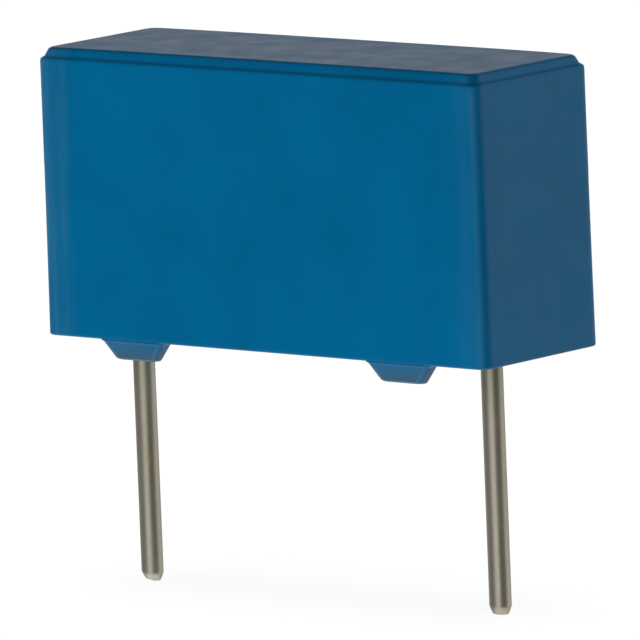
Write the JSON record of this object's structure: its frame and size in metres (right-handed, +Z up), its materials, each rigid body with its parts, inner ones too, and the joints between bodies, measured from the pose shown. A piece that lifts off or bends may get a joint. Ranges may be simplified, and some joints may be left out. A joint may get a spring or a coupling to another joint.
{
  "type": "box film capacitor",
  "caption": "Moulded box film capacitor with a stepped top, stand-off feet and two straight round leads for a circuit board.",
  "frame": {"origin": "midway between the two leads, on the seating plane that the feet touch", "axes": "+X along the row of leads and the case's length, +Z up out of the circuit board towards the case's top, the leads point down along -Z, +Y towards the back wall"},
  "size_m": [0.0126, 0.0041, 0.0123],
  "materials": {
    "case_plastic": "satin moulded blue PBT",
    "potting_resin": "cast epoxy, smooth with a slight gloss",
    "wound_film": "metallised film, wound and pressed",
    "sprayed_zinc": "rough sprayed zinc",
    "tinned_wire": "dull hot-tinned copper wire"
  },
  "bodies": {
    "root": {"case": "case_plastic", "potting": "potting_resin", "winding": "wound_film", "end_contact_left": "sprayed_zinc", "end_contact_right": "sprayed_zinc", "lead_left": "tinned_wire", "lead_right": "tinned_wire"}
  },
  "joints": []
}
